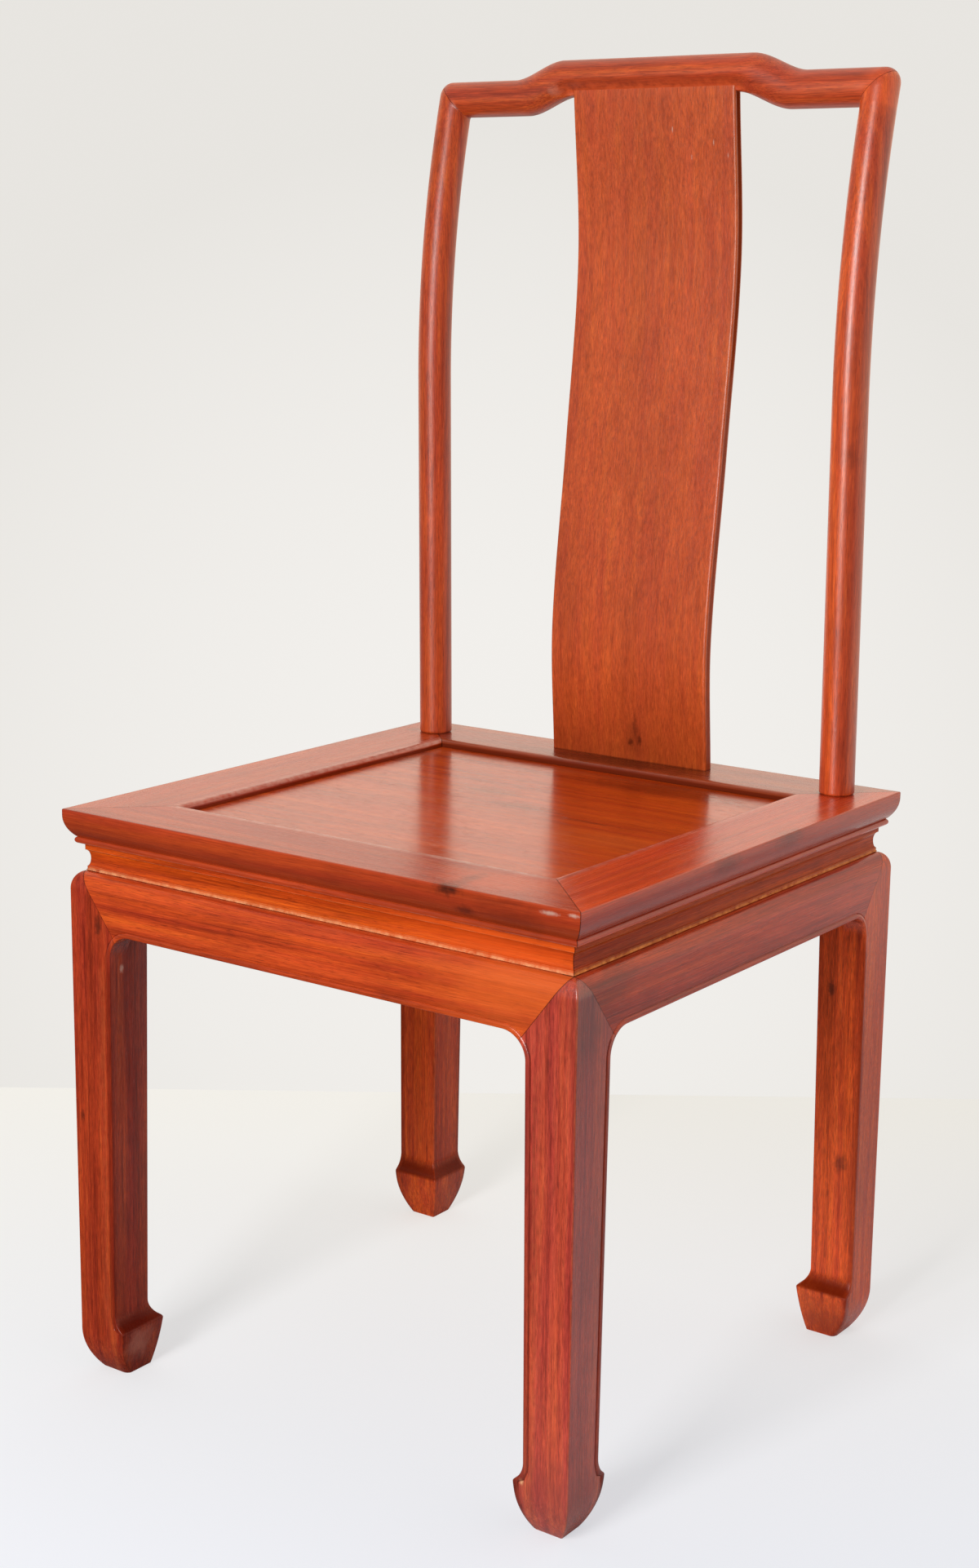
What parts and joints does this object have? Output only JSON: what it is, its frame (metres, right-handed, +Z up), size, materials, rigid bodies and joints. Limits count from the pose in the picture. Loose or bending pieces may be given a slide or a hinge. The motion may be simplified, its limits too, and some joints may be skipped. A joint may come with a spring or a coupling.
{
  "type": "ming-style side chair",
  "caption": "Armless hardwood side chair with a waisted square seat, hoof-footed legs, round curved stiles, a stepped crest rail and an S-curved splat.",
  "frame": {"origin": "on the floor, under the middle of the seat", "axes": "+Z up, front of the chair towards -Y, +X to the right of someone facing the chair's front"},
  "size_m": [0.48, 0.464, 1.0412],
  "materials": {
    "frame_wood": "satin red-brown lacquered rosewood, grain along each rail",
    "panel_wood": "glossy red-brown lacquered rosewood, grain from left to right",
    "brace_wood": "plain unpolished hardwood",
    "skirt_wood": "satin red-brown lacquered rosewood, grain along the seat's edge",
    "leg_wood": "satin red-brown lacquered rosewood, upright grain",
    "back_wood": "satin red-brown lacquered rosewood, grain along each round bar",
    "splat_wood": "satin red-brown lacquered rosewood, fine upright flecked grain"
  },
  "bodies": {
    "root": {"seat_rail_front": "frame_wood", "seat_rail_back": "frame_wood", "seat_rail_left": "frame_wood", "seat_rail_right": "frame_wood", "seat_panel": "panel_wood", "seat_brace_left": "brace_wood", "seat_brace_right": "brace_wood", "waist_front": "skirt_wood", "waist_back": "skirt_wood", "waist_left": "skirt_wood", "waist_right": "skirt_wood", "apron_front": "skirt_wood", "apron_back": "skirt_wood", "apron_left": "skirt_wood", "apron_right": "skirt_wood", "leg_front_left": "leg_wood", "leg_front_right": "leg_wood", "leg_back_right": "leg_wood", "leg_back_left": "leg_wood", "stile_left": "back_wood", "stile_right": "back_wood", "crest_rail": "back_wood", "back_splat": "splat_wood"}
  },
  "joints": []
}
